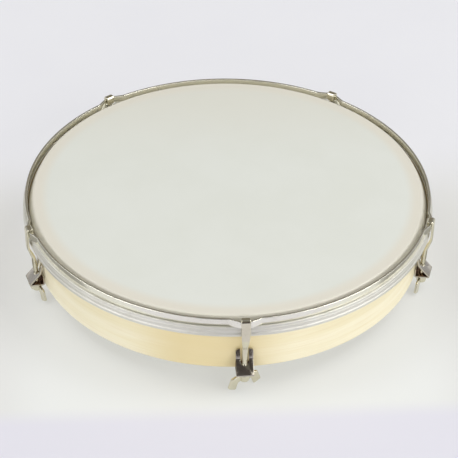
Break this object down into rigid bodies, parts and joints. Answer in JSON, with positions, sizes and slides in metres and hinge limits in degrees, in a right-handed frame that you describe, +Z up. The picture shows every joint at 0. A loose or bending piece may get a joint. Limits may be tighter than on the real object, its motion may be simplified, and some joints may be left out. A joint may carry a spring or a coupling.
{
  "type": "frame drum",
  "caption": "Shallow tunable frame drum: wooden shell, film head in a metal flesh hoop, flat steel counterhoop, and hook bolts tightened by wing nuts.",
  "frame": {"origin": "centre of the playing face of the drumhead", "axes": "+Z up, along the drum's axis and out of the playing face; -Y towards the first claw, which is 1.9 degrees off its even place"},
  "size_m": [0.3678, 0.3725, 0.0761],
  "materials": {
    "pale_maple": "thin satin lacquer over pale maple",
    "coated_film": "off-white coated film, fine matt tooth",
    "lock_resin": "cast resin",
    "dull_aluminium": "dull rolled aluminium",
    "nickel_plated_steel": "bright nickel plating"
  },
  "bodies": {
    "drum": {"shell": "pale_maple", "drumhead": "coated_film", "head_bead": "lock_resin", "flesh_hoop": "dull_aluminium", "counterhoop": "nickel_plated_steel", "bracket_1": "nickel_plated_steel", "bracket_screw_1": "nickel_plated_steel", "screw_washer_1": "nickel_plated_steel", "screw_nut_1": "nickel_plated_steel", "bracket_2": "nickel_plated_steel", "bracket_screw_2": "nickel_plated_steel", "screw_washer_2": "nickel_plated_steel", "screw_nut_2": "nickel_plated_steel", "bracket_3": "nickel_plated_steel", "bracket_screw_3": "nickel_plated_steel", "screw_washer_3": "nickel_plated_steel", "screw_nut_3": "nickel_plated_steel", "bracket_4": "nickel_plated_steel", "bracket_screw_4": "nickel_plated_steel", "screw_washer_4": "nickel_plated_steel", "screw_nut_4": "nickel_plated_steel", "bracket_5": "nickel_plated_steel", "bracket_screw_5": "nickel_plated_steel", "screw_washer_5": "nickel_plated_steel", "screw_nut_5": "nickel_plated_steel"},
    "hook_1": {"hook_bolt_1": "nickel_plated_steel"},
    "nut_1": {"wing_nut_1": "nickel_plated_steel"},
    "hook_2": {"hook_bolt_2": "nickel_plated_steel"},
    "nut_2": {"wing_nut_2": "nickel_plated_steel"},
    "hook_3": {"hook_bolt_3": "nickel_plated_steel"},
    "nut_3": {"wing_nut_3": "nickel_plated_steel"},
    "hook_4": {"hook_bolt_4": "nickel_plated_steel"},
    "nut_4": {"wing_nut_4": "nickel_plated_steel"},
    "hook_5": {"hook_bolt_5": "nickel_plated_steel"},
    "nut_5": {"wing_nut_5": "nickel_plated_steel"}
  },
  "joints": [
    {"name": "nut_turn_1", "type": "hinge", "parent": "drum", "child": "nut_1", "pos_m": [0.00599, -0.1807, -0.0583], "axis": [0, 0, 1], "range_deg": [0, 1080]},
    {"name": "hook_rise_1", "type": "slide", "parent": "drum", "child": "hook_1", "axis": [0, 0, 1], "range_m": [0, 0.0024]},
    {"name": "nut_turn_2", "type": "hinge", "parent": "drum", "child": "nut_2", "pos_m": [0.17195, -0.05587, -0.0583], "axis": [0, 0, 1], "range_deg": [0, 1080]},
    {"name": "hook_rise_2", "type": "slide", "parent": "drum", "child": "hook_2", "axis": [0, 0, 1], "range_m": [0, 0.0024]},
    {"name": "nut_turn_3", "type": "hinge", "parent": "drum", "child": "nut_3", "pos_m": [0.10627, 0.14627, -0.0583], "axis": [0, 0, 1], "range_deg": [0, 1080]},
    {"name": "hook_rise_3", "type": "slide", "parent": "drum", "child": "hook_3", "axis": [0, 0, 1], "range_m": [0, 0.0024]},
    {"name": "nut_turn_4", "type": "hinge", "parent": "drum", "child": "nut_4", "pos_m": [-0.10627, 0.14627, -0.0583], "axis": [0, 0, 1], "range_deg": [0, 1080]},
    {"name": "hook_rise_4", "type": "slide", "parent": "drum", "child": "hook_4", "axis": [0, 0, 1], "range_m": [0, 0.0024]},
    {"name": "nut_turn_5", "type": "hinge", "parent": "drum", "child": "nut_5", "pos_m": [-0.17195, -0.05587, -0.0583], "axis": [0, 0, 1], "range_deg": [0, 1080]},
    {"name": "hook_rise_5", "type": "slide", "parent": "drum", "child": "hook_5", "axis": [0, 0, 1], "range_m": [0, 0.0024]}
  ],
  "couplings": [
    {"joint": "hook_rise_1", "follows": "nut_turn_1", "m_per_rad": 0.00012732},
    {"joint": "hook_rise_2", "follows": "nut_turn_2", "m_per_rad": 0.00012732},
    {"joint": "hook_rise_3", "follows": "nut_turn_3", "m_per_rad": 0.00012732},
    {"joint": "hook_rise_4", "follows": "nut_turn_4", "m_per_rad": 0.00012732},
    {"joint": "hook_rise_5", "follows": "nut_turn_5", "m_per_rad": 0.00012732}
  ]
}
